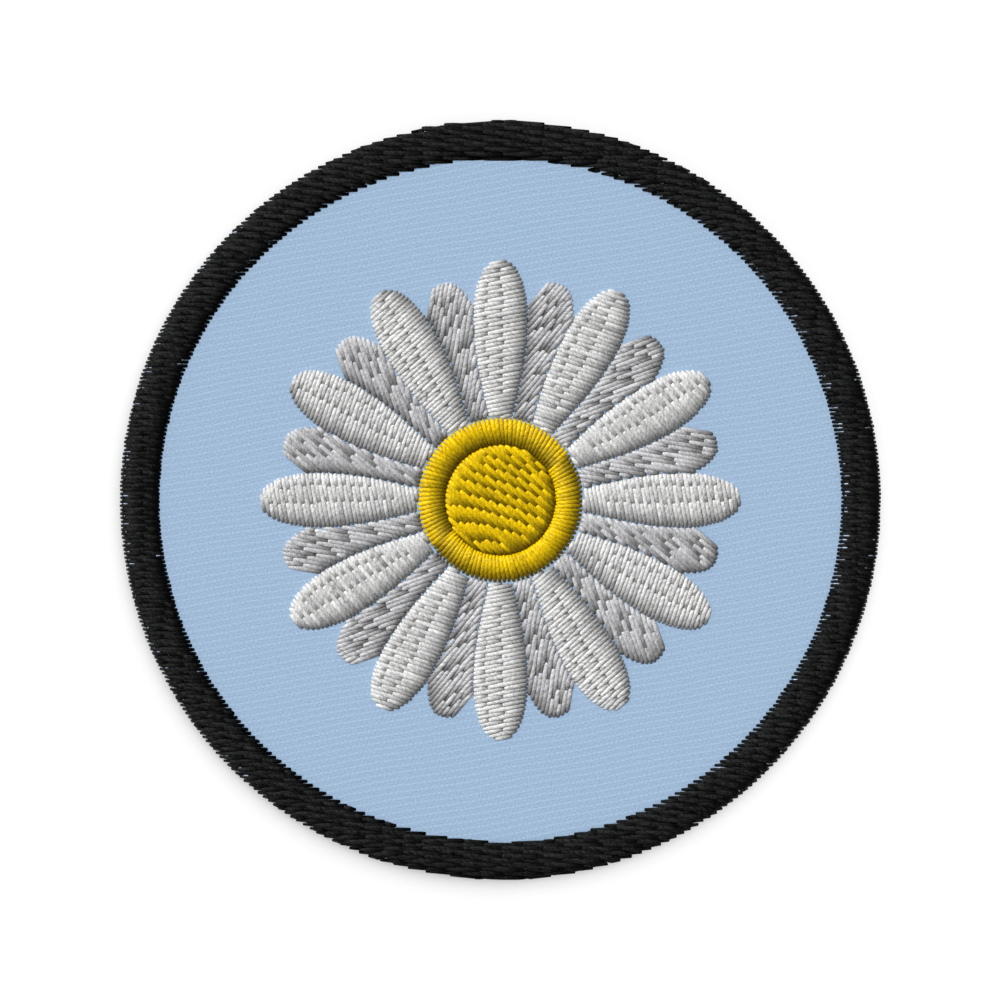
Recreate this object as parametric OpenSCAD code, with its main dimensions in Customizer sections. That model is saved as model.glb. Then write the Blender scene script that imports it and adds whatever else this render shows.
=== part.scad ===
// Round embroidered patch: a stiffened twill disc with a stitched border and a stitched daisy.
// It lies on its back on z = 0, with its face up and the centre of its back at the origin.

/* [Patch] */
// Diameter over the border
patch_d = 76.2; // [60:0.1:110]
// Thickness of the twill with its stiffening
cloth_t = 1.2; // [1:0.1:2.5]

/* [Border] */
// Width of the border on the face
border_face_w = 3.9; // [3:0.1:6]
// Width of the border on the back
border_back_w = 3.3; // [2.4:0.1:5]
// How far the border's stitches stand above the cloth
border_rise = 0.7; // [0.4:0.05:1]
// Thickness of the border's thread under the cloth
border_back_t = 0.15; // [0.1:0.05:0.3]
// Thickness of the thread lapped round the cloth's cut edge
edge_wrap = 0.45; // [0.3:0.05:0.8]
// How far the lapped thread draws in towards the back
edge_round = 0.3; // [0.1:0.05:0.6]

/* [Front petals] */
// Diameter over the tips of the front petals
flower_d = 48; // [42:0.5:60]
// Number of front petals, with as many back petals between them
petal_count = 12; // [9:1:14]
// Width of a front petal where it is widest
petal_w = 5.4; // [4:0.1:6.5]
// Width of a front petal at its root
petal_root_w = 2.3; // [1.6:0.1:2.8]
// Width of any petal's blunt tip, a stitch or two
petal_tip_w = 0.7; // [0.4:0.1:1.2]
// How far the front petals' satin stitches stand above the cloth
petal_rise = 0.55; // [0.4:0.05:0.9]

/* [Back petals] */
// How far the back petals' tips stop short of the front petals' tips
back_petal_inset = 1.6; // [0.5:0.1:4]
// Width of a back petal where it is widest
back_petal_w = 5; // [4:0.1:6]
// How far the back petals' fill stitches stand above the cloth
back_petal_rise = 0.38; // [0.3:0.02:0.6]

/* [Flower centre] */
// Diameter over the ring of satin stitch
ring_d = 16.4; // [13:0.2:20]
// Width of the ring, which is the length of its stitches
ring_w = 2.6; // [1.8:0.1:4]
// How far the ring stands above the cloth
ring_rise = 0.6; // [0.4:0.05:1]
// Height of the centre disc's edge above the cloth
disc_edge_rise = 0.35; // [0.3:0.05:0.6]
// How much higher the disc is in its middle
disc_crown = 0.2; // [0.1:0.05:0.5]

/* [Clearances] */
// Gap between the cloth and what is stitched to it
seat_gap = 0.03; // [0.01:0.01:0.05]
// Gap between neighbouring stitched areas
thread_gap = 0.12; // [0.05:0.01:0.2]

/* [Hidden] */
$fn = 180;

// Share of a petal's length at which it is widest
widest_at = 0.64;
// Share of its full rise that a satin column keeps where it is narrow
narrow_share = 0.55;
// Roundness of a stitched crown: 2 is an ellipse, and more has fuller shoulders
crown_power = 3;
// Angle between the points of a stitched crown
crown_step = 15;
// Steps from the disc's rim to its middle, as a share of its radius
dome_step = 0.125;
// Section across a satin column, as shares of half its width and of its height
SATIN_SECTION = [
    // across, up
    [-1, 0],
    [-1, 0.4],
    [-0.8, 0.78],
    [-0.4, 1],
    [0.4, 1],
    [0.8, 0.78],
    [1, 0.4],
    [1, 0]
];

patch_r = patch_d / 2;
cloth_r = patch_r - edge_wrap;
cloth_z = border_back_t + seat_gap;
face_z = cloth_z + cloth_t;
stitch_z = face_z + seat_gap;
sector_angle = 360 / petal_count;
petal_root_r = ring_d / 2 + thread_gap;
petal_l = flower_d / 2 - petal_root_r;
back_petal_l = petal_l - back_petal_inset;
disc_r = ring_d / 2 - ring_w - thread_gap;

// Stations along a petal, as shares of its length, closer together where its tip rounds off
petal_stations = concat(
    [for (i = [0:3]) widest_at * i / 4],
    [for (a = [0:15:90]) widest_at + (1 - widest_at) * sin(a)]
);

// Half the width of a petal at share t of its length
function petal_half(t, w, root_w) = t < widest_at
    ? root_w / 2 + (w - root_w) / 2 * sin(90 * t / widest_at)
    : petal_tip_w / 2 + (w - petal_tip_w) / 2 * sqrt(1 - pow((t - widest_at) / (1 - widest_at), 2));

// One side of a petal that points along +X, grown by a margin all round
function petal_side(length, w, root_w, grow) = [
    for (t = petal_stations)
        [petal_root_r - grow + t * (length + 2 * grow), petal_half(t, w, root_w) + grow]
];

function other_side(points) = [
    for (i = [len(points) - 1:-1:0]) [points[i].x, -points[i].y]
];

function petal_outline(length, w, root_w, grow = 0) = let (
    side = petal_side(length, w, root_w, grow)
) concat(side, other_side(side));

// Point of a stitched crown, from its foot at a = 0 to its top at a = 90
function crown_point(a, reach, rise) = [
    reach * pow(cos(a), 2 / crown_power),
    rise * pow(sin(a), 2 / crown_power)
];

// Section of a crown: up from its foot on the inside, over the ridge and down to its foot on the outside
function crown_section(ridge_r, reach, top_z, inner_z, outer_z) = concat(
    [for (a = [0:crown_step:90])
        let (p = crown_point(a, reach, top_z - inner_z)) [ridge_r - p.x, inner_z + p.y]],
    [for (a = [90 - crown_step:-crown_step:0])
        let (p = crown_point(a, reach, top_z - outer_z)) [ridge_r + p.x, outer_z + p.y]]
);

// Section of the border, open towards the cloth that it grips
function border_section() = let (
    edge_z = cloth_z + cloth_t / 2,
    groove_r = cloth_r + seat_gap
) concat(
    crown_section(patch_r - border_face_w / 2, border_face_w / 2, face_z + border_rise, stitch_z, edge_z),
    [for (a = [crown_step:crown_step:90])
        [patch_r - edge_round * (1 - cos(a)), edge_z * (1 - sin(a))]],
    [
        [patch_r - border_back_w, 0],
        [patch_r - border_back_w, border_back_t],
        [groove_r, border_back_t],
        [groove_r, stitch_z]
    ]
);

// Points of a front petal, one section for each station
satin_points = [
    for (t = petal_stations)
        let (
            half = petal_half(t, petal_w, petal_root_w),
            height = petal_rise * (narrow_share + (1 - narrow_share) * 2 * half / petal_w)
        )
        for (s = SATIN_SECTION)
            [petal_root_r + t * petal_l, s.x * half, stitch_z + s.y * height]
];

// Faces between sections of n points each, with an end face at each end
function loft_faces(sections, n) = concat(
    [for (k = [1:n - 2]) [0, k, k + 1]],
    [for (i = [0:sections - 2], k = [0:n - 1])
        let (a = i * n + k, b = i * n + (k + 1) % n)
        each [[a, a + n, b + n], [a, b + n, b]]],
    [for (k = [1:n - 2])
        let (a = (sections - 1) * n) [a, a + k + 1, a + k]]
);

module ground_cloth() {
    color("#A2BCD7")
        translate([0, 0, cloth_z])
            cylinder(r = cloth_r, h = cloth_t);
}

module border() {
    color("#1B1C1C")
        rotate_extrude()
            polygon(border_section());
}

module petal(i) {
    color("#E2E2E0")
        rotate([0, 0, 90 - (i - 1) * sector_angle])
            polyhedron(
                points = satin_points,
                faces = loft_faces(len(petal_stations), len(SATIN_SECTION))
            );
}

// Room that a back petal leaves for the front petal over it
module front_petal_room() {
    translate([0, 0, -thread_gap])
        linear_extrude(height = back_petal_rise + 2 * thread_gap)
            polygon(petal_outline(petal_l, petal_w, petal_root_w, thread_gap));
}

// The part of a back petal that shows between two front petals, which give it its shape near the root
module back_petal(i) {
    color("#AEB0B2")
        rotate([0, 0, 90 - (i - 0.5) * sector_angle])
            translate([0, 0, stitch_z])
                difference() {
                    linear_extrude(height = back_petal_rise)
                        polygon(petal_outline(back_petal_l, back_petal_w, back_petal_w));
                    for (side = [-1, 1])
                        rotate([0, 0, side * sector_angle / 2])
                            front_petal_room();
                }
}

module centre_ring() {
    color("#C79F0E")
        rotate_extrude()
            polygon(crown_section(
                (ring_d - ring_w) / 2, ring_w / 2, stitch_z + ring_rise, stitch_z, stitch_z
            ));
}

module centre_disc() {
    color("#D8A90F")
        rotate_extrude()
            polygon(concat(
                [[0, stitch_z], [disc_r, stitch_z]],
                [for (share = [1:-dome_step:0])
                    [disc_r * share, stitch_z + disc_edge_rise + disc_crown * (1 - pow(share, 2))]]
            ));
}

ground_cloth();
border();
for (i = [1:petal_count])
    petal(i);
for (i = [1:petal_count])
    back_petal(i);
centre_ring();
centre_disc();
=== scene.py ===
# Round embroidered patch, made thread by thread: a twill disc, a stitched border and a stitched daisy.
# Lengths are in millimetres until a mesh, a light or the camera is made from them.
from collections import namedtuple
import math
import bpy
import numpy as np
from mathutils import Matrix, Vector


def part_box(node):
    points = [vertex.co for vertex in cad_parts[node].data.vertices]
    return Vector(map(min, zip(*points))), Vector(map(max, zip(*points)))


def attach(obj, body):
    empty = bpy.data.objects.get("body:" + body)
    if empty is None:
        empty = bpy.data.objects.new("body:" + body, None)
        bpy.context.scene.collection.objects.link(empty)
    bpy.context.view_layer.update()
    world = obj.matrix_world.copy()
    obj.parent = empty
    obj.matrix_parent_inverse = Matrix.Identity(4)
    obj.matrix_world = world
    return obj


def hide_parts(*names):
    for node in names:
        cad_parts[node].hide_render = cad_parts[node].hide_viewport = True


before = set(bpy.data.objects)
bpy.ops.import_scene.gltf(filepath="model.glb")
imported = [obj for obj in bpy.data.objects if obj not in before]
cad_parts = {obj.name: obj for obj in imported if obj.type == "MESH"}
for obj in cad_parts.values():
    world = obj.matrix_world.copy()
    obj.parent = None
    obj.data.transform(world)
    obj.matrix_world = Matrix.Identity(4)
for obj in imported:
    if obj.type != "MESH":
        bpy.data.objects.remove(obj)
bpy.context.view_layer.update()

MM = 0.001
# The lower and the upper one of two corners or of two ends
LOW = 0
HIGH = 1


def box_mm(node):
    """Lowest and highest corner of a CAD node, in millimetres."""
    return [np.array(corner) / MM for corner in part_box(node)]


def points_mm(node):
    """The vertices of a CAD node, in millimetres."""
    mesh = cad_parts[node].data
    points = np.empty(len(mesh.vertices) * 3, np.float32)
    mesh.vertices.foreach_get("co", points)
    return points.reshape(-1, 3).astype(float) / MM


def radii(points):
    """Distance of each point from the Z axis."""
    return np.hypot(points[..., 0], points[..., 1])


def unit(vectors):
    """Vectors of the same directions, of length 1."""
    return vectors / np.linalg.norm(vectors, axis=-1, keepdims=True)


def heading(angle):
    """The direction on the ground at this angle."""
    return np.array([math.cos(angle), math.sin(angle)])


# Sizes read from the frame
cloth_r = box_mm("ground_cloth")[HIGH][0]
cloth_z = box_mm("ground_cloth")[LOW][2]
face_z = box_mm("ground_cloth")[HIGH][2]
patch_r = box_mm("border")[HIGH][0]
border_top_z = box_mm("border")[HIGH][2]
border_points = points_mm("border")
border_inner_r = radii(border_points[border_points[:, 2] > face_z]).min()
back_inner_r = radii(border_points[border_points[:, 2] < cloth_z]).min()
ground_z = box_mm("centre_ring")[LOW][2]
ring_outer_r = box_mm("centre_ring")[HIGH][0]
ring_inner_r = radii(points_mm("centre_ring")).min()
ring_top_z = box_mm("centre_ring")[HIGH][2]
disc_r = box_mm("centre_disc")[HIGH][0]
disc_top_z = box_mm("centre_disc")[HIGH][2]
petal_count = sum(node.startswith("petal_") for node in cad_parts)

# Threads: the distance between rows, and a thread's section, which is flat and nearly square
ROW_PITCH = 0.4
THREAD_HALF_H = 0.17
SIDES = 8
SECTION_POWER = 0.65

# Distances from either end of a stitch at which its section is placed, besides its middle
END_OFFSETS = np.array([0, 0.04, 0.2, 0.36, 0.95])
# Which of these move inwards where the end of a stitch stands out beyond the next row
MOVED_OFFSETS = np.array([0, 0, 1, 1, 1])
# Least length between the last sections of its two ends
MIDDLE_ROOM = 0.5

# At a needle hole: how far a stitch laps into it, the length over which it rises, the share of its length
# over which it dives at most, the share of the dip at its start, and how far it is narrower
LAP = 0.12
RISE_REACH = 0.4
DIVE_SHARE = 0.65
START_DIP_SHARE = 0.2
HOLE_REACH = 0.6
# Share of its length over which it leans aside from the hole
LEAN_SHARE = 0.6

# At the outline: the length over which it is rounded off, the share of its thickness that it keeps at its
# very start and at its very end, and the length over which it plunges
END_ROUND = 0.15
TIPS = (0.78, 0.68)
PLUNGE_REACH = 0.2
# Its narrow tooth there: how long it is, how much longer for each millimetre that it stands out beyond the
# next row, and the length over which it widens
TOOTH_REACH = 0.36
TOOTH_GROWTH = 1.3
TOOTH_FADE = 0.16
# How far its start and its end are pulled to the rest of the area, for each millimetre that they stand out
TUCKS = (0.045, 0.025)

# The length of the painted shade or painted highlight at its start, and how soon the painted shade over the
# dive at its end is full
START_SHADE_REACH = 0.9
END_SHADE_GAIN = 1.4

# How much the stitches differ from one another
END_JITTER = 0.03
BOW_SPREAD = 0.02
HEIGHT_SPREAD = 0.015
WIDTH_SPREAD = 0.04
TOOTH_SPREAD = 0.15
SHADE_SPREAD = 0.08
PATTERN_SPREAD = 40

# Roundness of the shoulders of a stitched area
CROWN_POWER = 2.2

# How the stitches of an area are laid. Where a field holds two values, the first is for an end in a needle
# hole and the second for an end on the area's outline.
Style = namedtuple("Style", [
    "half_w",
    # How deep it dips into a hole, the length over which it dives and its end's painted shade spreads, and
    # how deep it plunges at the outline
    "dip",
    "dive_reaches",
    "plunge",
    # How much it narrows in a hole, where it starts on the outline and where it ends there
    "narrowing",
    # Painted shade where it starts and where it ends, a painted highlight where the value is below zero
    "start_shades",
    "end_shades",
])
SATIN = Style(
    half_w=0.235,
    dip=0.3,
    dive_reaches=(1.1, 1.9),
    plunge=0.0,
    narrowing=(0.1, 0.22, 0.22),
    start_shades=(-0.11, -0.11),
    end_shades=(1.0, 0.9),
)
FILL = SATIN._replace(half_w=0.25, dip=0.28, dive_reaches=(2.2, 2.2), start_shades=(-0.12, -0.12))
BORDER = Style(
    half_w=0.288,
    dip=0.15,
    dive_reaches=(2.4, 2.4),
    plunge=0.03,
    narrowing=(0.22, 0.46, 0.35),
    start_shades=(0.1, 0.8),
    end_shades=(0.95, 1.0),
)

# How far the stitching reaches below the ground's surface
SINK = 0.02

# Underlay: its painted shade, which makes it darker as in the shadow of the threads above it, in its shade
# and in its hole value, and its pattern
UNDERLAY_SHADE = -0.4
UNDERLAY_HOLE_SHADE = 0.5
UNDERLAY_PATTERN = 0.3

# Layout of the baked maps: a band for the underlay, then a grid of cells for the strands
BAKE_BAND = 0.1
BAKE_CELL_ASPECT = 2.5
BAKE_PAD = 0.06
# The part of a strand's cell for each of its caps, and how much of that part the cap fills
BAKE_CAP_WIDTH = 0.12
BAKE_CAP_FILL = 0.8
# In a slab's share of the band: where its top, its bottom and its walls start, how large they may be, and how
# low and how high the walls lie
SLAB_STARTS = (0.02, 0.35, 0.68)
SLAB_FACE_WIDTH = 0.28
SLAB_FACE_HEIGHT = 0.8
SLAB_WALL_WIDTH = 0.3
SLAB_WALL_ENDS = (0.1, 0.85)

# The light comes from this side, so a stitch starts at the end that is nearer to it
LIGHT_FROM = math.radians(132)
AWAY_FROM_LIGHT = -heading(LIGHT_FROM)

# Decimals that tell the points of a CAD node apart, and how far above its lowest point its base may reach
POINT_DECIMALS = 4
BASE_TOLERANCE = 0.001


def outline_of(node):
    """The outline of a CAD node's base, counter-clockwise."""
    points, index = np.unique(np.round(points_mm(node), POINT_DECIMALS), axis=0, return_inverse=True)
    index = index.reshape(-1)
    low = points[:, 2] < points[:, 2].min() + BASE_TOLERANCE
    edges = set()
    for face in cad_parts[node].data.polygons:
        corners = [int(index[v]) for v in face.vertices]
        if not low[corners].all():
            continue
        for edge in zip(corners, corners[1:] + corners[:1]):
            if edge[::-1] in edges:
                edges.discard(edge[::-1])
            else:
                edges.add(edge)
    follow = dict(edges)
    start = min(follow)
    loop = [start]
    while follow[loop[-1]] != start:
        loop.append(follow[loop[-1]])
    outline = points[loop, :2]
    after = np.roll(outline, -1, axis=0)
    area = (outline[:, 0] * after[:, 1] - outline[:, 1] * after[:, 0]).sum()
    return outline if area > 0 else outline[::-1]


def circle(radius, count=96):
    """Points round a circle, counter-clockwise."""
    angles = np.arange(count) * math.tau / count
    return radius * np.column_stack([np.cos(angles), np.sin(angles)])


def inset(outline, margin):
    """A counter-clockwise outline drawn in by a margin."""
    before = unit(outline - np.roll(outline, 1, axis=0))
    after = unit(np.roll(outline, -1, axis=0) - outline)
    return outline + margin * unit((before + after)[:, ::-1] * [-1, 1])


def rows_in(outline, angle):
    """Parallel rows across an outline, each as its number, start, direction and length."""
    along = heading(angle)
    if along @ AWAY_FROM_LIGHT < 0:
        along = -along
    across = np.array([-along[1], along[0]])
    u = outline @ along
    v = outline @ across
    next_v = np.roll(v, -1)
    step_u = np.roll(u, -1) - u
    count = int((v.max() - v.min()) / ROW_PITCH)
    first = (v.max() + v.min() - (count - 1) * ROW_PITCH) / 2
    rows = []
    for number in range(count):
        level = first + number * ROW_PITCH
        crossed = (v > level) != (next_v > level)
        share = (level - v[crossed]) / (next_v - v)[crossed]
        crossings = np.sort(u[crossed] + share * step_u[crossed])
        for a, b in zip(crossings[::2], crossings[1::2]):
            rows.append((number, a * along + level * across, along, b - a))
    return rows


def crown(distance, shoulder):
    """Share of the full height at a distance from the edge of a stitched area."""
    left = 1 - np.clip(distance / shoulder, 0, 1)
    return (1 - left ** CROWN_POWER) ** (1 / CROWN_POWER)


def fading(distance, reach):
    """Falls from 1 at an end to 0 at this reach from it."""
    return np.clip(1 - distance / reach, 0, 1)


def blunt(distance, tip):
    """Share of its thickness that a thread keeps at a distance from its end, and tip at the end itself."""
    return tip + (1 - tip) * np.sqrt(1 - fading(distance, END_ROUND) ** 2)


def tooth(distance, reach):
    """1 along a thread's end at the outline, falling to 0 further in."""
    return np.clip((reach - distance) / TOOTH_FADE, 0, 1)


def places_along(a, b, growths):
    """Where the sections of a stitch are, and how much they are drawn together because it is short."""
    first, last = [END_OFFSETS + growth * MOVED_OFFSETS for growth in growths]
    scale = min(1, (b - a) / (first[-1] + last[-1] + MIDDLE_ROOM))
    middle = (a + b + scale * (first[-1] - last[-1])) / 2
    return np.concatenate([a + scale * first, [middle], b - scale * last[::-1]]), scale


def cap_fans(sides):
    """The quads that close the end of a strand, as places round its section."""
    return np.array([[0, k, k + 1, k + 2] for k in range(1, sides - 2, 2)])


def new_object(name, data):
    """An object of this data, in the scene."""
    made = bpy.data.objects.new(name, data)
    bpy.context.scene.collection.objects.link(made)
    return made


def finished_piece(name, mesh, material, node):
    """A piece of this mesh, fixed to the frame."""
    mesh.materials.append(material)
    piece = new_object(name, mesh)
    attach(piece, "root")
    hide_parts(node)
    return piece


class Threads:
    """Strands of thread, and the underlay beneath them, gathered into one mesh."""

    def __init__(self, seed, style=SATIN, sides=SIDES, segments=2 * len(END_OFFSETS)):
        self.rng = np.random.default_rng(seed)
        self.style = style
        self.sides = sides
        self.segments = segments
        self.strands = []
        self.slabs = []

    def strand(self, points, side, half_w, half_h, hole):
        """One length of thread through these points, flat in the direction of side. hole is its painted
        shade, a painted highlight where below zero.
        """
        shade = self.rng.normal(0, SHADE_SPREAD)
        self.strands.append((points, side, half_w, half_h, hole, shade))

    def stitch(self, start, along, span, surface, holes, exposed=(0, 0), lean=0):
        """A stitch on a straight row. surface gives the height of its middle, holes says which ends lie
        inside the area, exposed how far each end stands out beyond the next row, with a minus where the rest
        of the area lies on the right, and lean how far aside it starts."""
        style = self.style
        edges = (not holes[0], not holes[1])
        a = span[0] - LAP * holes[0] + self.rng.normal(0, END_JITTER) * edges[0]
        b = span[1] + LAP * holes[1] + self.rng.normal(0, END_JITTER) * edges[1]
        growths = [TOOTH_GROWTH * abs(reach) for reach in exposed]
        s, scale = places_along(a, b, growths)
        from_a = s - a
        to_b = b - s
        share = from_a / (b - a)
        aside = self.rng.normal(0, BOW_SPREAD) * np.sin(math.pi * share)
        aside = aside + lean * holes[0] * fading(share, LEAN_SHARE)
        aside = aside + TUCKS[0] * exposed[0] * fading(from_a, growths[0] + TOOTH_REACH)
        aside = aside + TUCKS[1] * exposed[1] * fading(to_b, growths[1] + TOOTH_REACH)
        side = np.array([-along[1], along[0], 0])
        rise = fading(from_a, RISE_REACH)
        dive = fading(to_b, min(style.dive_reaches[edges[1]], DIVE_SHARE * (b - a)))
        z = surface(np.clip(s, span[0], span[1])) + self.rng.normal(0, HEIGHT_SPREAD)
        z = z - style.dip * (START_DIP_SHARE * holes[0] * rise ** 2 + holes[1] * dive ** 2)
        plunge = edges[0] * fading(from_a, PLUNGE_REACH) ** 2 + edges[1] * fading(to_b, PLUNGE_REACH) ** 2
        z = z - style.plunge * plunge
        points = np.column_stack([
            start[0] + s * along[0] + aside * side[0],
            start[1] + s * along[1] + aside * side[1],
            z,
        ])
        thickness = blunt(from_a, TIPS[0]) * blunt(to_b, TIPS[1])
        width = thickness * self.width_along(from_a, to_b, holes, growths, scale)
        # Painted shade along the stitch, carried as its hole value: a painted highlight at its start where
        # the style's value is below zero, and painted shade at its end over its dive into a hole or at the
        # outline
        start_shade = style.start_shades[edges[0]] * fading(from_a, START_SHADE_REACH)
        end_shade = style.end_shades[edges[1]] * np.clip(END_SHADE_GAIN * dive, 0, 1)
        shade = np.minimum(start_shade + end_shade, 1)
        self.strand(points, side, width, THREAD_HALF_H * thickness, shade)

    def width_along(self, from_a, to_b, holes, growths, scale):
        """Half the width along a stitch, which narrows in a hole and to a tooth at the outline."""
        uneven = 1 + TOOTH_SPREAD * self.rng.uniform(-1, 1, 4)
        reaches = (growths[0] + TOOTH_REACH * uneven[1], growths[1] + TOOTH_REACH * uneven[3])
        start_tooth = (not holes[0]) * uneven[0] * tooth(from_a, scale * reaches[0])
        end_tooth = (not holes[1]) * uneven[2] * tooth(to_b, scale * reaches[1])
        near_hole = holes[0] * fading(from_a, HOLE_REACH) + holes[1] * fading(to_b, HOLE_REACH)
        in_hole, at_start, at_end = self.style.narrowing
        width = self.style.half_w * (1 + self.rng.normal(0, WIDTH_SPREAD))
        return width * (1 - in_hole * near_hole) * (1 - at_start * start_tooth - at_end * end_tooth)

    def row(self, start, along, cuts, surface, exposed=(0, 0), lean=0):
        """A row of stitches between the cuts along it."""
        last = len(cuts) - 2
        for k, span in enumerate(zip(cuts[:-1], cuts[1:])):
            ends = (exposed[0] * (k == 0), exposed[1] * (k == last))
            self.stitch(start, along, span, surface, (k > 0, k < last), ends, lean)

    def slab(self, outline, high_z):
        """A flat underlay inside an outline, up to this height."""
        self.slabs.append((outline, high_z))

    def strand_mesh(self):
        """Vertices, quads and the values on them, for all the strands at once."""
        columns = [np.array(c) for c in zip(*self.strands)]
        points, side, half_w, half_h, hole, shade = columns
        count = len(points)
        rings = self.segments + 1
        tangent = np.gradient(points, axis=1)
        up = unit(np.cross(tangent, side[:, None, :]))
        turn = np.arange(self.sides) * math.tau / self.sides
        waves = np.array([np.cos(turn), np.sin(turn)])
        across, upward = np.sign(waves) * np.abs(waves) ** SECTION_POWER
        vertices = (
            points[:, :, None, :]
            + (side[:, None, :] * half_w[..., None])[:, :, None, :] * across[:, None]
            + (up * half_h[..., None])[:, :, None, :] * upward[:, None]
        )
        length = np.linalg.norm(np.diff(points, axis=1), axis=2).cumsum(axis=1)
        length = np.concatenate([np.zeros((count, 1)), length], axis=1)
        length = length + self.rng.uniform(0, PATTERN_SPREAD, (count, 1))

        grid = np.arange(count * rings * self.sides).reshape(count, rings, self.sides)
        after = np.roll(grid, -1, axis=2)
        walls = np.stack([grid[:, :-1], after[:, :-1], after[:, 1:], grid[:, 1:]], axis=-1)
        fans = cap_fans(self.sides)
        first_caps = grid[:, 0][:, fans[:, ::-1]]
        last_caps = grid[:, -1][:, fans]
        quads = np.concatenate([walls.reshape(count, -1, 4), first_caps, last_caps], axis=1).reshape(-1, 4)

        thread_u = np.broadcast_to(length[..., None], grid.shape).reshape(-1)
        turn_share = np.arange(self.sides) / self.sides
        thread_v = np.broadcast_to(turn_share, grid.shape).reshape(-1)
        thread_uv = np.stack([thread_u[quads], thread_v[quads]], axis=-1)
        # The last quad round the thread ends a whole turn on, not back at the start
        wraps = np.ptp(thread_uv[..., 1], axis=1) > 0.5
        ring_quads = np.zeros((count, quads.shape[0] // count), bool)
        ring_quads[:, :walls[0].size // 4] = True
        wraps = wraps & ring_quads.reshape(-1)
        turned = thread_uv[wraps]
        turned[..., 1] = np.where(turned[..., 1] < 0.5, turned[..., 1] + 1, turned[..., 1])
        thread_uv[wraps] = turned
        return {
            "vertices": vertices.reshape(-1, 3),
            "quads": quads,
            "thread": thread_uv.reshape(-1, 2),
            "OFBake": self.strand_bake_uv(count),
            "shade": np.repeat(shade, rings * self.sides),
            "hole": np.repeat(hole.reshape(-1), self.sides),
        }

    def strand_bake_uv(self, count):
        """A place in the baked map for each face corner: one cell for each strand, in a grid."""
        floor_v = BAKE_BAND if self.slabs else 0
        columns = max(1, round(math.sqrt(count / BAKE_CELL_ASPECT)))
        lines = math.ceil(count / columns)
        cell_w = 1 / columns
        cell_h = (1 - floor_v) / lines
        inner = 1 - 2 * BAKE_PAD
        i, j = np.indices((self.segments, self.sides))
        corner_i = np.stack([i, i, i + 1, i + 1], axis=-1)
        corner_j = np.stack([j, j + 1, j + 1, j], axis=-1)
        wall_u = BAKE_CAP_WIDTH + (1 - 2 * BAKE_CAP_WIDTH) * corner_i / self.segments
        wall_v = BAKE_PAD + inner * corner_j / self.sides
        turn = np.arange(self.sides) * math.tau / self.sides
        cap_u = BAKE_CAP_WIDTH / 2 * BAKE_CAP_FILL * np.cos(turn)
        cap_v = 0.5 + BAKE_CAP_FILL / 2 * np.sin(turn)
        fans = cap_fans(self.sides)
        first = fans[:, ::-1].reshape(-1)
        last = fans.reshape(-1)
        middle = BAKE_CAP_WIDTH / 2
        u = np.concatenate([wall_u.reshape(-1), middle - cap_u[first], 1 - middle + cap_u[last]])
        v = np.concatenate([wall_v.reshape(-1), cap_v[first], cap_v[last]])
        number = np.arange(count)[:, None]
        cell_u = (number % columns + u[None, :]) * cell_w
        cell_v = floor_v + (number // columns + v[None, :]) * cell_h
        return np.stack([cell_u, cell_v], axis=-1).reshape(-1, 2)

    def slab_bake_uv(self, outline, number):
        """The baked map's places for a slab's top, bottom and walls, in the band under the strands."""
        share = 1 / len(self.slabs)
        top_left, bottom_left, wall_left = [share * (number + start) for start in SLAB_STARTS]
        low, high = [BAKE_BAND * end for end in SLAB_WALL_ENDS]
        room = min(SLAB_FACE_WIDTH * share, SLAB_FACE_HEIGHT * BAKE_BAND)
        flat = (outline - outline.min(axis=0)) * room / np.ptp(outline, axis=0).max()
        top = flat + [top_left, low]
        bottom = flat[::-1] + [bottom_left, low]
        count = len(outline)
        i = np.arange(count)[:, None]
        wall_u = wall_left + share * SLAB_WALL_WIDTH * (i + [0, 1, 1, 0]) / count
        wall_v = np.broadcast_to([low, low, high, high], (count, 4))
        walls = np.stack([wall_u, wall_v], axis=-1).reshape(-1, 2)
        return np.concatenate([top, bottom, walls])

    def build(self, name, material, node):
        """One piece of all the strands and slabs."""
        strands = self.strand_mesh()
        base = len(strands["vertices"])
        faces = strands.pop("quads").tolist()
        parts = {kind: [values] for kind, values in strands.items()}
        for number, (outline, high_z) in enumerate(self.slabs):
            count = len(outline)
            low = np.column_stack([outline, np.full(count, ground_z - SINK)])
            high = np.column_stack([outline, np.full(count, high_z)])
            parts["vertices"] += [low, high]
            ids = np.arange(count)
            after = np.roll(ids, -1)
            top = base + count + ids
            bottom = base + ids[::-1]
            walls = base + np.column_stack([ids, after, after + count, ids + count])
            faces += [top.tolist(), bottom.tolist()] + walls.tolist()
            spots = np.concatenate([top, bottom, walls.reshape(-1)]) - base
            parts["thread"].append(np.concatenate([low, high])[spots][:, :2] * UNDERLAY_PATTERN)
            parts["OFBake"].append(self.slab_bake_uv(outline, number))
            # The underlay's painted shade: darker, as in the shadow of the threads above it
            parts["shade"].append(np.full(2 * count, UNDERLAY_SHADE))
            parts["hole"].append(np.full(2 * count, UNDERLAY_HOLE_SHADE))
            base += 2 * count
        mesh = bpy.data.meshes.new(name)
        mesh.from_pydata((np.concatenate(parts["vertices"]) * MM).tolist(), [], faces)
        for layer in ("OFBake", "thread"):
            data = mesh.uv_layers.new(name=layer).data
            data.foreach_set("uv", np.concatenate(parts[layer]).reshape(-1).astype(np.float32))
        for attribute in ("shade", "hole"):
            data = mesh.attributes.new(attribute, "FLOAT", "POINT").data
            data.foreach_set("value", np.concatenate(parts[attribute]).astype(np.float32))
        mesh.shade_smooth()
        return finished_piece(name, mesh, material, node)


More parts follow.
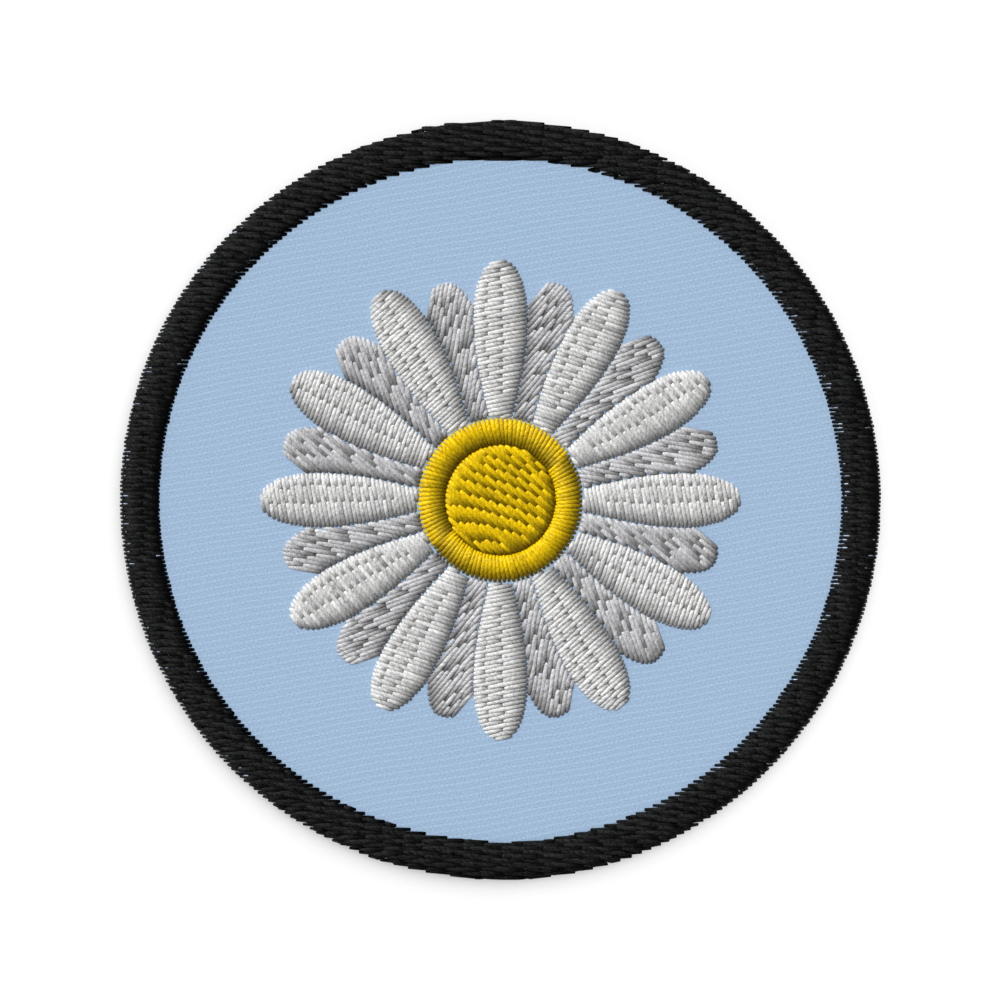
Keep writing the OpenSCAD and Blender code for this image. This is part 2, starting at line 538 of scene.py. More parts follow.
# Materials
class Shader:
    """A material's nodes, with short calls for the kinds that these materials share."""

    def __init__(self, name):
        self.material = bpy.data.materials.new(name)
        self.material.use_nodes = True
        self.tree = self.material.node_tree
        self.tree.nodes.clear()
        self.surface = self.node("ShaderNodeBsdfPrincipled")
        output = self.node("ShaderNodeOutputMaterial")
        self.tree.links.new(self.surface.outputs["BSDF"], output.inputs["Surface"])

    def node(self, kind, **inputs):
        """A node with these inputs, each a value or another node's output."""
        node = self.tree.nodes.new(kind)
        for name, value in inputs.items():
            self.put(node.inputs[name], value)
        return node

    def put(self, socket, value):
        """Sets a socket to a value, or links it."""
        if isinstance(value, bpy.types.NodeSocket):
            self.tree.links.new(value, socket)
        else:
            socket.default_value = value

    def math(self, operation, *values):
        """The result of a Math node."""
        node = self.node("ShaderNodeMath")
        node.operation = operation
        for socket, value in zip(node.inputs, values):
            self.put(socket, value)
        return node.outputs[0]

    def scaled(self, value, share):
        """A share of a value."""
        return self.math("MULTIPLY", value, share)

    def plus(self, base, value, share):
        """A base and a share of a value."""
        return self.math("MULTIPLY_ADD", value, share, base)

    def vector(self, x, y):
        """A vector made of two values."""
        return self.node("ShaderNodeCombineXYZ", X=x, Y=y).outputs[0]

    def enlarged(self, vector, factor):
        """A vector or a colour multiplied by a factor."""
        node = self.node("ShaderNodeVectorMath")
        node.operation = "SCALE"
        self.put(node.inputs[0], vector)
        self.put(node.inputs["Scale"], factor)
        return node.outputs[0]

    def split(self, vector):
        """The three values of a vector."""
        return self.node("ShaderNodeSeparateXYZ", Vector=vector).outputs

    def uv(self, layer):
        """A UV map's place."""
        node = self.node("ShaderNodeUVMap")
        node.uv_map = layer
        return node.outputs[0]

    def place_mm(self):
        """The place on the object in millimetres."""
        return self.enlarged(self.node("ShaderNodeTexCoord").outputs["Object"], 1 / MM)

    def attribute(self, name):
        """A value stored on the mesh."""
        node = self.node("ShaderNodeAttribute")
        node.attribute_name = name
        return node.outputs["Fac"]

    def noise(self, vector, scale, detail=2.0):
        """Noise about zero, from about -0.5 to 0.5."""
        node = self.node("ShaderNodeTexNoise", Vector=vector, Scale=scale, Detail=detail)
        return self.math("SUBTRACT", node.outputs[0], 0.5)

    def wave(self, place, period):
        """A sine wave from -1 to 1."""
        return self.math("SINE", self.scaled(place, math.tau / period))

    def tint(self, color, factor):
        """A colour multiplied by a factor that varies over the surface."""
        self.put(self.surface.inputs["Base Color"], self.enlarged(color, factor))

    def bump(self, height, depth_mm):
        """Relief on the surface, of this depth for a height of 1."""
        node = self.node("ShaderNodeBump", Height=height, Distance=depth_mm * MM, Strength=1.0)
        self.put(self.surface.inputs["Normal"], node.outputs[0])

    def finish(self, roughness, gloss):
        """The material, with its roughness and the strength of its highlights."""
        self.put(self.surface.inputs["Roughness"], roughness)
        self.surface.inputs["Specular IOR Level"].default_value = gloss
        return self.material


# Colours
BLACK = (0.0136, 0.0139, 0.0142)
WHITE = (0.63, 0.63, 0.625)
GREY = (0.49, 0.49, 0.5)
YELLOW = (0.735, 0.492, 0.001)
YARN_BLUE = (0.4, 0.5, 0.62)
TWILL_BLUE = (0.356, 0.493, 0.67)
FLOOR_WHITE = (0.9, 0.9, 0.9)

# Thread: its plies, which make one full turn in this length, and the scales of its fibres
TWIST_LENGTH = 1.5
PLIES = 2
FIBRE_SCALES = (1.4, 6.0)
# How much uneven dye shows in its colour, how much painted highlight and shade follow the twist of the plies,
# and how much the plies show in its relief
DYE_TINT = 0.1
PLY_PAINTED_SHADING = 0.02
PLY_RELIEF = 0.5
FIBRE_ROUGHNESS = 0.15
# Dark streaks across the stitches: which way they run, how fine they are and where their noise is cut off
STREAK_ANGLE = math.radians(-8)
STREAK_SCALES = (0.9, 4.4)
STREAK_LIMIT = 0.05


def across_lines(shader, x, y, angle):
    """Distance across lines that run at an angle."""
    return shader.plus(shader.scaled(x, -math.sin(angle)), y, math.cos(angle))


def thread_material(name, color, gloss, darkening, grain, roughness=0.42, streaks=0.0):
    """Twisted embroidery thread with fine fibres, with painted shade from the mesh's hole values where it
    dives into a needle hole and towards a stitch's end, and a painted highlight where those values are below
    zero. streaks is how much darker it is in places, in lines that lean a little to the rows."""
    shader = Shader(name)
    place = shader.place_mm()
    u, v, _ = shader.split(shader.uv("thread"))
    turn = shader.math("SUBTRACT", v, shader.math("DIVIDE", u, TWIST_LENGTH))
    ply = shader.wave(turn, 1 / PLIES)
    fibre_place = shader.vector(shader.scaled(u, FIBRE_SCALES[0]), shader.scaled(turn, FIBRE_SCALES[1]))
    fibre = shader.noise(fibre_place, scale=1.0)
    speckle = shader.noise(place, scale=6.0, detail=1.0)
    dye = shader.noise(shader.vector(u, 0.0), scale=0.35)
    x, y, _ = shader.split(place)
    along_streak = across_lines(shader, x, y, STREAK_ANGLE + math.pi / 2)
    across_streak = across_lines(shader, x, y, STREAK_ANGLE)
    streak_place = shader.vector(
        shader.scaled(along_streak, STREAK_SCALES[0]), shader.scaled(across_streak, STREAK_SCALES[1])
    )
    streak = shader.math("MINIMUM", shader.noise(streak_place, scale=1.0), STREAK_LIMIT)
    # Each strand's tone, which varies at random, and on the underlay its painted shade
    factor = shader.math("ADD", 1.0, shader.attribute("shade"))
    tints = [(fibre, grain), (speckle, grain), (dye, DYE_TINT), (ply, PLY_PAINTED_SHADING), (streak, streaks)]
    for pattern, share in tints:
        factor = shader.plus(factor, pattern, share)
    # Painted shade from the mesh's hole values, times darkening; below zero it is a painted highlight
    hole = shader.plus(1.0, shader.attribute("hole"), -darkening)
    shader.tint(color, shader.math("MULTIPLY", factor, hole))
    shader.bump(shader.plus(fibre, ply, PLY_RELIEF), depth_mm=0.018)
    return shader.finish(shader.plus(roughness, fibre, FIBRE_ROUGHNESS), gloss)


# Twill: its ribs climb a little to the right, with fainter ribs between them, crossed by yarns
RIB_PERIOD = 0.65
RIB_ANGLE = math.radians(10)
YARN_PERIOD = 0.498
YARN_ANGLE = math.radians(-70)
YARN_WANDER = 0.2
# How much the crossing yarns show, and how much more on the ribs
YARN_TINT = 0.012
YARN_ON_RIB_TINT = 0.038
# Painted highlight on the crests of the ribs and of the fainter ribs and painted shade between them, and how
# much the grain and the clouds show in its colour
RIB_PAINTED_SHADING = 0.049
FINE_RIB_PAINTED_SHADING = 0.038
GRAIN_TINT = 0.46
CLOUD_TINT = 0.01
# Its fine relief, beyond the ribs that are in the mesh
WEAVE_RELIEF = 12.0
GRAIN_RELIEF = 2.4
TWILL_ROUGHNESS = 0.85
GRAIN_ROUGHNESS = 0.1


def twill_material():
    """Light blue twill: ribs with fainter ones between them, with painted highlight on their crests and
    painted shade between them, crossing yarns and a fine grain.
    """
    shader = Shader("twill_blue")
    place = shader.place_mm()
    x, y, _ = shader.split(place)
    rib = shader.wave(shader.attribute("rib_place"), RIB_PERIOD)
    # Twice the square of a wave, less 1, is a wave of half its period
    fine_rib = shader.plus(-1.0, shader.math("MULTIPLY", rib, rib), 2.0)
    wander = shader.noise(place, scale=0.9)
    yarn = shader.wave(shader.plus(across_lines(shader, x, y, YARN_ANGLE), wander, YARN_WANDER), YARN_PERIOD)
    weave = shader.math("MULTIPLY", yarn, shader.plus(YARN_TINT, rib, YARN_ON_RIB_TINT))
    grain = shader.noise(place, scale=5.8, detail=0.5)
    cloud = shader.noise(place, scale=0.12)
    shader.bump(shader.plus(shader.scaled(grain, GRAIN_RELIEF), weave, WEAVE_RELIEF), depth_mm=0.008)
    factor = weave
    # rib and fine_rib paint highlight on the crests and shade between them
    tints = [(rib, RIB_PAINTED_SHADING), (fine_rib, FINE_RIB_PAINTED_SHADING), (grain, GRAIN_TINT), (cloud, CLOUD_TINT)]
    for pattern, share in tints:
        factor = shader.plus(factor, pattern, share)
    shader.tint(TWILL_BLUE, shader.math("ADD", factor, 1.0))
    return shader.finish(shader.plus(TWILL_ROUGHNESS, grain, GRAIN_ROUGHNESS), gloss=0.15)


def floor_material():
    """A smooth white studio floor."""
    shader = Shader("floor_white")
    speckle = shader.noise(shader.place_mm(), scale=0.05)
    shader.tint(FLOOR_WHITE, shader.plus(1.0, speckle, share=0.01))
    return shader.finish(roughness=0.9, gloss=0.0)


# Ground cloth: how far inside the CAD's cloth it is cut, so that the overcast hides its edge, and its mesh
CLOTH_TRIM = 0.15
CLOTH_LINE_STEP = 0.11
CLOTH_COLUMNS = 88
# The first and the last line of the mesh lie just inside the disc, so that they have a length
CLOTH_END_SHARE = 0.9999
# Heights of the ribs and of the fainter ribs between them
RIB_HEIGHT = 0.018
RIB_SHARE = 0.38
FINE_RIB_SHARE = 0.12
# How far the ribs wander, slowly and quickly, and over what lengths along X and Y
SLOW_WANDER = 0.09
SLOW_LENGTHS = (5.3, 7.1)
SLOW_SWAY = 1.7
QUICK_WANDER = 0.06
QUICK_LENGTHS = (2.3, 3.1)


def place_across_ribs(x, y):
    """Distance across the twill's ribs, which wander a little."""
    slow = SLOW_WANDER * np.sin(x / SLOW_LENGTHS[0] + SLOW_SWAY * np.sin(y / SLOW_LENGTHS[1]))
    quick = QUICK_WANDER * np.sin(x / QUICK_LENGTHS[0] + y / QUICK_LENGTHS[1])
    return y * math.cos(RIB_ANGLE) - x * math.sin(RIB_ANGLE) + slow + quick


def twill_height(place):
    """Height of the woven ribs above the lowest line between them."""
    turn = math.tau * place / RIB_PERIOD
    return RIB_HEIGHT * (RIB_SHARE * (1 + np.sin(turn)) + FINE_RIB_SHARE * (1 - np.cos(2 * turn)))


def cloth_face(reach):
    """Places of the mesh's points on the face: lines along the ribs, across a disc of this radius."""
    lines = int(2 * reach / CLOTH_LINE_STEP)
    q = np.linspace(-reach, reach, lines + 1)
    q[[0, -1]] *= CLOTH_END_SHARE
    half = np.sqrt(reach ** 2 - q ** 2)
    p = half[:, None] * np.linspace(-1, 1, CLOTH_COLUMNS + 1)[None, :]
    q = np.broadcast_to(q[:, None], p.shape)
    x = p * math.cos(RIB_ANGLE) - q * math.sin(RIB_ANGLE)
    y = p * math.sin(RIB_ANGLE) + q * math.cos(RIB_ANGLE)
    return x, y


def make_cloth(material):
    """The twill disc: ribs woven into its face, a cut edge and a flat back."""
    reach = cloth_r - CLOTH_TRIM
    x, y = cloth_face(reach)
    place = place_across_ribs(x, y)
    z = face_z - RIB_HEIGHT + twill_height(place)
    top = np.stack([x, y, z], axis=-1).reshape(-1, 3)
    grid = np.arange(len(top)).reshape(x.shape)
    faces = np.stack([grid[:-1, :-1], grid[:-1, 1:], grid[1:, 1:], grid[1:, :-1]], axis=-1)
    faces = faces.reshape(-1, 4).tolist()
    rim = np.concatenate([grid[0, :-1], grid[:-1, -1], grid[-1, :0:-1], grid[:0:-1, 0]])
    low = top[rim].copy()
    low[:, 2] = cloth_z
    low_ids = len(top) + np.arange(len(rim))
    walls = np.column_stack([low_ids, np.roll(low_ids, -1), np.roll(rim, -1), rim])
    faces += walls.tolist()
    faces.append(low_ids[::-1].tolist())
    mesh = bpy.data.meshes.new("twill_cloth")
    mesh.from_pydata((np.concatenate([top, low]) * MM).tolist(), [], faces)
    on_face = np.arange(len(faces)) < len(faces) - len(walls) - 1
    mesh.polygons.foreach_set("use_smooth", on_face)
    places = np.concatenate([place.reshape(-1), place.reshape(-1)[rim]])
    mesh.attributes.new("rib_place", "FLOAT", "POINT").data.foreach_set("value", places.astype(np.float32))
    piece = finished_piece("twill_cloth", mesh, material, "ground_cloth")
    return piece


# Border: rows that all run across the patch. Where they lie, how round the border's section is, and how far
# they reach inwards beyond the CAD's border
BORDER_ROW_PHASE = 0.6
BORDER_POWER = 3
BORDER_INNER_LAP = 0.02
# Needle holes: their distance, where the first one is, the share of the distance by which even and odd rows
# are shifted, how far on they are to the right of the cloth, and their least distance from a row's end
BORDER_STITCH = 4.0
BORDER_FIRST_HOLE = 0.4
BORDER_PHASES = (0.0, 0.5)
BORDER_RIGHT_SHIFT = 1.4
BORDER_LEAST_STITCH = 0.9
BORDER_HOLE_JITTER = 0.08
# The most that a row's end counts as standing out
MOST_EXPOSED = 3.5
# Share of its width that the full row next to the cloth keeps, since no row presses it from that side
FREE_ROW_SHARE = 0.84
# How far aside stitches start from a hole, and the distance from the border's edges that this needs
BORDER_LEAN = 0.22
LEAN_ROOM = 1.2

# Rings of underlay: their places across the border, the arc, the lap and half the width of their stitches,
# and how far they lie below the rows, in half thicknesses of thread
UNDERLAY_LINES = (0.24, 0.5, 0.76)
UNDERLAY_ARC = math.radians(6)
UNDERLAY_LAP = 0.04
UNDERLAY_HALF_W = 0.46
UNDERLAY_DEPTH = 1.6

# Yarns in the gaps: how far up and down the border they go, and their chances at a row's left and right end
GAP_ZONE = 0.82
GAP_CHANCES = (0.36, 0.06)
# How much rarer they get up and down the border, where the rest of it lies above them and where it lies below
GAP_FADES = (0.0, 0.85)
# Where they start, how long they are, and how much longer for each millimetre that a row stands out
GAP_STARTS = (-0.02, 0.22)
GAP_LENGTHS = (0.3, 0.8)
GAP_GROWTH = 0.6
GAP_RISE = 0.135
GAP_HALF_W = 0.07
GAP_HALF_H = 0.035
# Their painted shade: lighter on the inner slope and darker on the outer slope, how much darker at most, at
# random, and how much more painted shade at a row's right end
GAP_SHADES = (-0.2, 0.1)
GAP_SHADE_SPREAD = 0.6
GAP_FAR_SHADE = 0.4

# Overcast round the cut edge: how far inside the border's outline it runs, half the thickness of its threads
# on the back, and the heights between which they get thicker
OVERCAST_PITCH = 0.42
OVERCAST_INSET = 0.5
OVERCAST_HALF_W = 0.28
OVERCAST_HALF_H = 0.12
OVERCAST_BACK_HALF_H = 0.085
OVERCAST_THIN_Z = (0.12, 0.4)
# Its height on the back, how wide it turns at the face and at the back, in how many steps, and how its ends
# are tucked in, with painted shade on them
OVERCAST_BACK_Z = 0.095
OVERCAST_TURNS = (0.1, 0.25)
TURN_STEPS = 12
TUCK_LENGTH = 0.3
TUCK_RISE = 0.12
TUCK_HOLE_SHADE = 0.6
# How much its threads differ in place, as a share of their distance, and in reach
OVERCAST_PLACE_SPREAD = 0.12
OVERCAST_REACH_SPREAD = 0.02


def border_height(r):
    """Height of the middle of the border's threads at a distance from the patch's centre."""
    ridge_r = (patch_r + border_inner_r) / 2
    reach = (patch_r - border_inner_r) / 2 - THREAD_HALF_H
    edge_z = (cloth_z + face_z) / 2
    foot_z = np.where(r > ridge_r, edge_z, ground_z - SINK)
    share = np.clip(np.abs(r - ridge_r) / reach, 0, 1)
    top_z = border_top_z - THREAD_HALF_H
    return foot_z + (top_z - foot_z) * (1 - share ** BORDER_POWER) ** (1 / BORDER_POWER)


def border_cuts(number, left, right, rng):
    """Needle holes along one border row, near a grid that all the rows share."""
    phase = BORDER_PHASES[number % len(BORDER_PHASES)]
    first = BORDER_FIRST_HOLE + BORDER_STITCH * phase + BORDER_RIGHT_SHIFT * (left > 0)
    far = math.ceil(patch_r / BORDER_STITCH) + 1
    steps = np.arange(-far, far) * BORDER_STITCH + first
    inside = steps[(steps > left + BORDER_LEAST_STITCH) & (steps < right - BORDER_LEAST_STITCH)]
    inside = inside + rng.normal(0, BORDER_HOLE_JITTER, len(inside))
    return np.concatenate([[left], inside, [right]])


def border_spans(y):
    """Left and right ends of the border's rows at this height on the face."""
    far = math.sqrt(patch_r ** 2 - y ** 2)
    inner = border_inner_r - BORDER_INNER_LAP
    if abs(y) < inner:
        near = math.sqrt(inner ** 2 - y ** 2)
        return [(-far, -near), (near, far)]
    return [(-far, far)]


def exposed_ends(y):
    """How far the ends of the border's rows at this height stand out beyond the rows next to them, with a
    minus where the rest of the border lies below them."""
    spans = border_spans(y)
    up = 1 if y > 0 else -1
    beyond = abs(y) + ROW_PITCH
    outer = spans[-1][HIGH] - (border_spans(beyond)[-1][HIGH] if beyond < patch_r else 0)
    outer = -up * min(outer, MOST_EXPOSED)
    if len(spans) == 1:
        return [(outer, outer)]
    inner = border_spans(max(abs(y) - ROW_PITCH, 0))[-1][LOW] - spans[-1][LOW]
    inner = up * min(inner, MOST_EXPOSED)
    return [(outer, inner), (inner, outer)]


def make_border(material):
    """The border's rows on the face."""
    threads = Threads(seed=11, style=BORDER)
    count = int(patch_r / ROW_PITCH)
    along = np.array([1.0, 0.0])
    for number in range(-count, count):
        y = (number + BORDER_ROW_PHASE) * ROW_PITCH
        room = min(abs(abs(y) - border_inner_r), patch_r - abs(y))
        lean = BORDER_LEAN * min(1, room / LEAN_ROOM)
        free = 0 < abs(y) - border_inner_r < ROW_PITCH
        threads.style = BORDER._replace(half_w=BORDER.half_w * (FREE_ROW_SHARE if free else 1))
        for (left, right), exposed in zip(border_spans(y), exposed_ends(y)):
            cuts = border_cuts(number, left, right, threads.rng) - left
            start = np.array([left, y])
            threads.row(start, along, cuts, lambda s: border_height(np.hypot(left + s, y)), exposed, lean)
    lay_border_underlay(threads)
    return threads.build("border_stitches", material, "border")


def lay_border_underlay(threads):
    """Rings of running stitch that the border's rows lie on."""
    width = patch_r - border_inner_r
    count = round(math.tau / UNDERLAY_ARC)
    for share in UNDERLAY_LINES:
        r = border_inner_r + share * width
        z = border_height(r) - UNDERLAY_DEPTH * THREAD_HALF_H
        for number in range(count):
            last = number + 1 + UNDERLAY_LAP
            turn = np.linspace(number, last, threads.segments + 1) * math.tau / count
            full = np.ones(len(turn))
            points = np.column_stack([r * np.cos(turn), r * np.sin(turn), z * full])
            side = np.array([*-heading(turn.mean()), 0])
            # Full painted shade, as in the shadow of the rows above them
            threads.strand(points, side, UNDERLAY_HALF_W * full, THREAD_HALF_H * full, full)


def make_gap_yarns(material):
    """Short light yarns that show in the gaps between the border's rows, mostly at the rows' left ends."""
    yarns = Threads(seed=13, sides=4, segments=4)
    ridge_r = (patch_r + border_inner_r) / 2
    side = np.array([0.0, 1.0, 0.0])
    full = np.ones(yarns.segments + 1)
    count = int(GAP_ZONE * border_inner_r / ROW_PITCH)
    for number in range(-count, count + 1):
        # Halfway between two rows
        y = (number + BORDER_ROW_PHASE - 0.5) * ROW_PITCH
        for span, exposed in zip(border_spans(y), exposed_ends(y)):
            for end, inward in ((LOW, 1), (HIGH, -1)):
                fade = GAP_FADES[int(exposed[end] < 0)] * abs(number) / count
                if yarns.rng.random() > GAP_CHANCES[end] * (1 - fade):
                    continue
                first = yarns.rng.uniform(*GAP_STARTS)
                length = yarns.rng.uniform(*GAP_LENGTHS) + GAP_GROWTH * abs(exposed[end])
                x = span[end] + inward * np.linspace(first, first + length, len(full))
                r = np.hypot(x, y)
                points = np.column_stack([x, y * full, border_height(r) + GAP_RISE])
                # Painted shade on the yarn: lighter on the inner slope, darker on the outer one and at a
                # row's right end
                dark = GAP_SHADES[int(r.mean() > ridge_r)] + yarns.rng.uniform(0, GAP_SHADE_SPREAD)
                dark = dark + GAP_FAR_SHADE * (end == HIGH)
                yarns.strand(points, side, GAP_HALF_W * full, GAP_HALF_H * full, dark * full)
    return yarns.build("border_gap_yarns", material, "border")


def overcast_path(count):
    """The overcast's way round the cut edge, as distances from the centre and heights."""
    edge_r = patch_r - OVERCAST_INSET - OVERCAST_HALF_H
    high_z = face_z + OVERCAST_HALF_H / 2
    low_z = OVERCAST_BACK_Z
    face_turn, back_turn = OVERCAST_TURNS
    turn = np.linspace(0, math.pi / 2, TURN_STEPS)
    over = edge_r - face_turn + face_turn * np.sin(turn)
    under = edge_r - back_turn + back_turn * np.cos(turn)
    r = np.concatenate([over, under, [back_inner_r + TUCK_LENGTH, back_inner_r]])
    over = high_z - face_turn + face_turn * np.cos(turn)
    under = low_z + back_turn - back_turn * np.sin(turn)
    z = np.concatenate([over, under, [low_z, low_z + TUCK_RISE]])
    length = np.concatenate([[0], np.hypot(np.diff(r), np.diff(z)).cumsum()])
    places = np.linspace(0, length[-1], count)
    return np.interp(places, length, r), np.interp(places, length, z)


def make_overcast(material):
    """Threads lapped round the patch's cut edge, from under the border's rows to its back."""
    threads = Threads(seed=12, sides=6, segments=16)
    r, z = overcast_path(threads.segments + 1)
    count = round(math.tau * patch_r / OVERCAST_PITCH)
    half_h = np.interp(z, OVERCAST_THIN_Z, [OVERCAST_BACK_HALF_H, OVERCAST_HALF_H])
    # Painted shade on the tucked-in ends
    hole = np.zeros(len(r))
    hole[-2:] = TUCK_HOLE_SHADE
    for number in range(count):
        aside = threads.rng.uniform(-OVERCAST_PLACE_SPREAD, OVERCAST_PLACE_SPREAD)
        out = heading((number + aside) * math.tau / count)
        side = np.array([-out[1], out[0], 0])
        reach = r + threads.rng.normal(0, OVERCAST_REACH_SPREAD)
        points = np.column_stack([reach * out[0], reach * out[1], z])
        threads.strand(points, side, OVERCAST_HALF_W * r / patch_r, half_h, hole)
    return threads.build("border_overcast", material, "border")


# Daisy: satin stitch on the front petals and on the ring round its centre
SATIN_SHOULDER = 0.95
SATIN_SLANT = math.radians(11)
RING_SLANT = math.radians(9)
# Share of a front petal's height that its shortest rows keep
NARROW_SHARE = 0.55
# For even and for odd rows: the length beyond which a stitch has a needle hole inside, and the shares of its
# length between which that lies
SATIN_SPLITS = ((3.2, 0.55, 0.61), (4.2, 0.22, 0.3))

# Fill stitch on the back petals and on the centre's disc, with the shifts of the holes from row to row
FILL_SHOULDER = 0.6
FILL_TURN = math.radians(-25)
FILL_STITCH = 3.6
FILL_PHASES = (0.0, 0.5, 0.25, 0.75)
DISC_ANGLE = math.radians(-42)
DISC_STITCH = 2.8
DISC_PHASES = (0.0, 1 / 3, 2 / 3)
DISC_RIM_RISE = 0.35
LEAST_STITCH = 1.0
FILL_HOLE_JITTER = 0.12

# The daisy's underlay: how far inside the outline it ends, and its height as a share of the stitching's
UNDERLAY_INSET = 0.4
UNDERLAY_SHARE = 0.5
BACK_UNDERLAY_SHARE = 0.3
RING_UNDERLAY_RISE = 0.03


def crowned(s, length, rise, shoulder):
    """Height of the middle of a row's threads, which falls towards both ends of the row."""
    return ground_z + rise * crown(np.minimum(s, length - s), shoulder) - THREAD_HALF_H


def satin_cuts(number, length, rng):
    """Ends of a satin stitch, with a needle hole inside where it is long."""
    longest, nearest, furthest = SATIN_SPLITS[number % 2]
    if length > longest:
        return np.array([0, length * rng.uniform(nearest, furthest), length])
    return np.array([0, length])


def fill_cuts(number, length, stitch, phases, rng):
    """Needle holes along a fill row, staggered from row to row."""
    steps = (np.arange(1 + int(length / stitch) + 1) + phases[number % len(phases)]) * stitch
    steps = steps + rng.normal(0, FILL_HOLE_JITTER, len(steps))
    inside = steps[(steps > LEAST_STITCH) & (steps < length - LEAST_STITCH)]
    return np.concatenate([[0], inside, [length]])


def petal_rows(node, turn):
    """The outline of a petal, its height above the ground, and rows at this angle to its axis."""
    outline = outline_of(node)
    axis = math.atan2(*outline.mean(axis=0)[::-1])
    return outline, box_mm(node)[HIGH][2] - ground_z, rows_in(outline, axis + turn)


def make_petal(i, material):
    """A front petal in satin stitch, straight across it with a slight slant."""
    node = f"petal_{i}"
    threads = Threads(seed=100 + i)
    outline, rise, rows = petal_rows(node, math.pi / 2 + SATIN_SLANT)
    longest = max(length for *_, length in rows)
    for number, start, along, length in rows:
        height = rise * (NARROW_SHARE + (1 - NARROW_SHARE) * length / longest)
        cuts = satin_cuts(number, length, threads.rng)
        threads.row(start, along, cuts, lambda s: crowned(s, length, height, SATIN_SHOULDER))
    threads.slab(inset(outline, UNDERLAY_INSET), ground_z + UNDERLAY_SHARE * NARROW_SHARE * rise)
    return threads.build(f"{node}_satin", material, node)


def make_back_petal(i, material):
    """A back petal in fill stitch, on a slant to its axis."""
    node = f"back_petal_{i}"
    threads = Threads(seed=200 + i, style=FILL)
    outline, rise, rows = petal_rows(node, FILL_TURN)
    for number, start, along, length in rows:
        cuts = fill_cuts(number, length, FILL_STITCH, FILL_PHASES, threads.rng)
        threads.row(start, along, cuts, lambda s: crowned(s, length, rise, FILL_SHOULDER))
    threads.slab(inset(outline, UNDERLAY_INSET), ground_z + BACK_UNDERLAY_SHARE * rise)
    return threads.build(f"{node}_fill", material, node)


def make_ring(material):
    """The ring of satin stitches round the flower's centre."""
    threads = Threads(seed=301)
    middle_r = (ring_inner_r + ring_outer_r) / 2
    count = round(math.tau * middle_r / ROW_PITCH)
    length = ring_outer_r - ring_inner_r
    rise = ring_top_z - ground_z
    for number in range(count):
        angle = number * math.tau / count
        start = ring_inner_r * heading(angle)
        along = heading(angle + RING_SLANT)
        if along @ AWAY_FROM_LIGHT < 0:
            start = start + length * along
            along = -along
        threads.row(start, along, [0, length], lambda s: crowned(s, length, rise, SATIN_SHOULDER))
    threads.slab(circle(ring_outer_r - UNDERLAY_INSET), ground_z + RING_UNDERLAY_RISE)
    return threads.build("centre_ring_satin", material, "centre_ring")


def make_disc(material):
    """The domed disc of fill stitch inside the ring."""
    threads = Threads(seed=302, style=FILL)
    dome = disc_top_z - ground_z - DISC_RIM_RISE
    for number, start, along, length in rows_in(circle(disc_r), DISC_ANGLE):

        def surface(s):
            rise = DISC_RIM_RISE + dome * (1 - (radii(start + s[:, None] * along) / disc_r) ** 2)
            return crowned(s, length, rise, FILL_SHOULDER)

        cuts = fill_cuts(number, length, DISC_STITCH, DISC_PHASES, threads.rng)
        threads.row(start, along, cuts, surface)
    threads.slab(circle(disc_r - UNDERLAY_INSET), ground_z + UNDERLAY_SHARE * DISC_RIM_RISE)
    return threads.build("centre_disc_fill", material, "centre_disc")


def make_patch():
    """Every piece of the patch."""
    black = thread_material(
        "thread_black", BLACK, gloss=0.06, darkening=0.92, grain=3.2, roughness=0.6, streaks=3.5
    )
    white = thread_material("thread_white", WHITE, gloss=0.15, darkening=0.6, grain=1.1)
    grey = thread_material("thread_grey", GREY, gloss=0.15, darkening=0.65, grain=1.2)
    yellow = thread_material("thread_yellow", YELLOW, gloss=0.14, darkening=0.82, grain=1.2)
    yarn = thread_material("yarn_blue", YARN_BLUE, gloss=0.15, darkening=0.8, grain=0.4)
    pieces = [make_cloth(twill_material()), make_border(black), make_gap_yarns(yarn), make_overcast(black)]
    for i in range(1, petal_count + 1):
        pieces.append(make_petal(i, white))
        pieces.append(make_back_petal(i, grey))
    pieces.append(make_ring(yellow))
    pieces.append(make_disc(yellow))
    return pieces


# Studio: the light from all round, and of each lamp its share of full light, its height above the horizon and
# how wide it is
AMBIENT_SHARE = 0.3
KEY_SHARE = 0.72
KEY_ELEVATION = math.radians(38)
KEY_SPREAD = math.radians(28)
CLOTH_LIGHT_ELEVATION = math.radians(86)
CLOTH_LIGHT_SPREAD = math.radians(30)
FLOOR_SHARE = 0.86
FLOOR_LIGHT_FROM = math.radians(70)
FLOOR_LIGHT_ELEVATION = math.radians(63)
FLOOR_LIGHT_SPREAD = math.radians(88)

# The floor's width in metres, and the camera's view in millimetres
FLOOR_SIZE = 2.4
CAMERA_LENS = 120
CAMERA_SENSOR = 36
FRAME_WIDTH = 100.2
FRAME_CENTRE = (-0.045, 0.02)


def make_floor():
    """The floor that the patch lies on."""
    half = FLOOR_SIZE / 2
    corners = [(-half, -half, 0), (half, -half, 0), (half, half, 0), (-half, half, 0)]
    mesh = bpy.data.meshes.new("floor")
    mesh.from_pydata(corners, [], [(0, 1, 2, 3)])
    mesh.materials.append(floor_material())
    floor = new_object("floor", mesh)
    return floor


def linked_group(name, members):
    """A collection that tells a light which objects it reaches, or which cast its shadows."""
    group = bpy.data.collections.new(name)
    for member in members:
        group.objects.link(member)
    return group


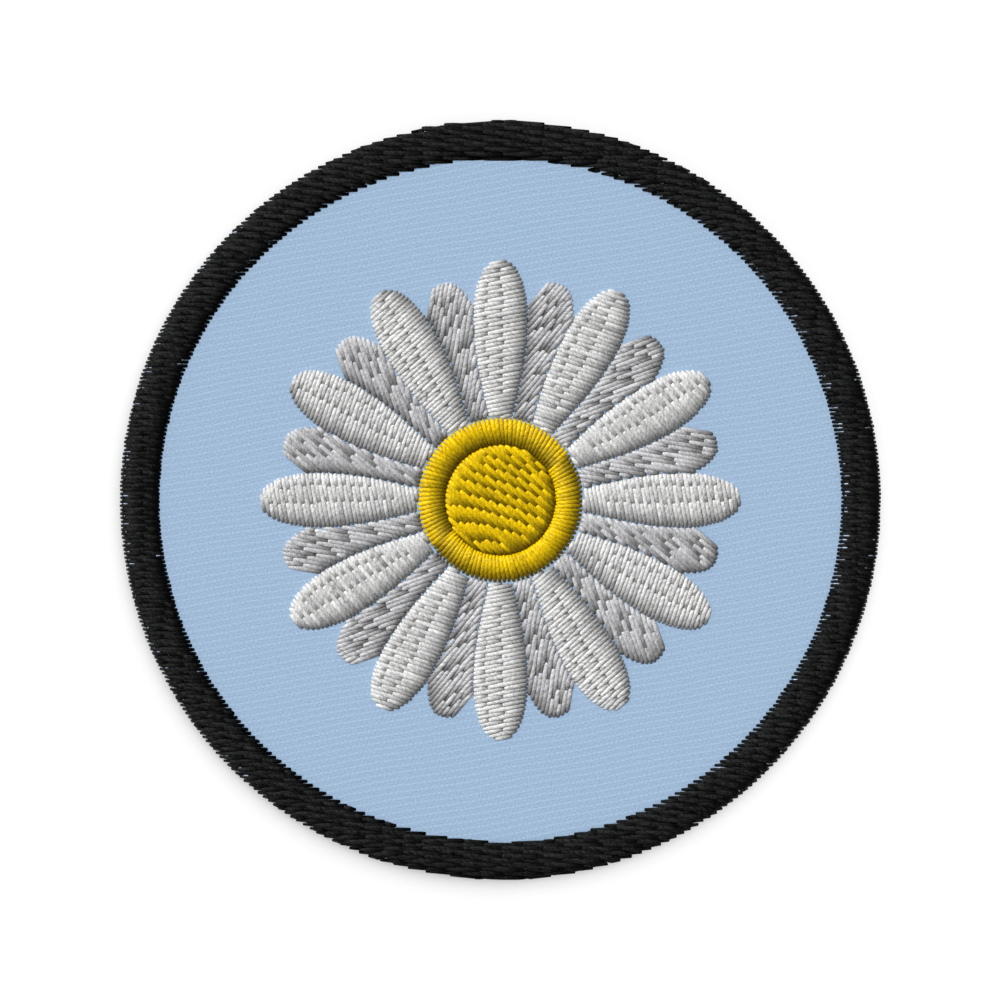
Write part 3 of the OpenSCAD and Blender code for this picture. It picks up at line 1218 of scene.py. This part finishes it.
def soft_light(name, bearing, elevation, spread, share, receivers):
    """A wide far light that gives this share of full light on level ground, to the objects named."""
    data = bpy.data.lights.new(name, "SUN")
    data.angle = spread
    data.energy = share * math.pi / math.sin(elevation)
    light = new_object(name, data)
    light.location = (*heading(bearing), 1)
    light.rotation_euler = (math.pi / 2 - elevation, 0, bearing + math.pi / 2)
    light.light_linking.receiver_collection = linked_group(f"{name}_receivers", receivers)
    return light


def make_lights(pieces, floor):
    """A key light on the stitching, a steep one on the cloth, and one on the floor from another side."""
    cloth, border, gap_yarns, overcast, *flower = pieces
    stitching = [border, gap_yarns, overcast, *flower]
    soft_light("key", LIGHT_FROM, KEY_ELEVATION, KEY_SPREAD, KEY_SHARE, stitching)
    soft_light("cloth_light", LIGHT_FROM, CLOTH_LIGHT_ELEVATION, CLOTH_LIGHT_SPREAD, KEY_SHARE, [cloth])
    floor_light = soft_light(
        "floor_light", FLOOR_LIGHT_FROM, FLOOR_LIGHT_ELEVATION, FLOOR_LIGHT_SPREAD, FLOOR_SHARE, [floor]
    )
    # The border's loose ends cast no shadow on the floor between them
    floor_light.light_linking.blocker_collection = linked_group("floor_light_blockers", [cloth, overcast])


def make_world():
    """Even light from all round."""
    world = bpy.data.worlds.new("studio")
    world.use_nodes = True
    background = world.node_tree.nodes["Background"]
    background.inputs["Color"].default_value = (1, 1, 1, 1)
    background.inputs["Strength"].default_value = AMBIENT_SHARE
    bpy.context.scene.world = world


def make_camera():
    """A long lens straight above the patch, with +Y up."""
    data = bpy.data.cameras.new("camera")
    data.lens = CAMERA_LENS
    data.sensor_width = CAMERA_SENSOR
    data.clip_start = 0.01
    data.clip_end = 10
    camera = new_object("camera", data)
    height = FRAME_WIDTH * CAMERA_LENS / CAMERA_SENSOR + face_z
    camera.location = (FRAME_CENTRE[0] * MM, FRAME_CENTRE[1] * MM, height * MM)
    bpy.context.scene.camera = camera


make_lights(make_patch(), make_floor())
make_world()
make_camera()
bpy.context.scene.view_settings.view_transform = "Standard"
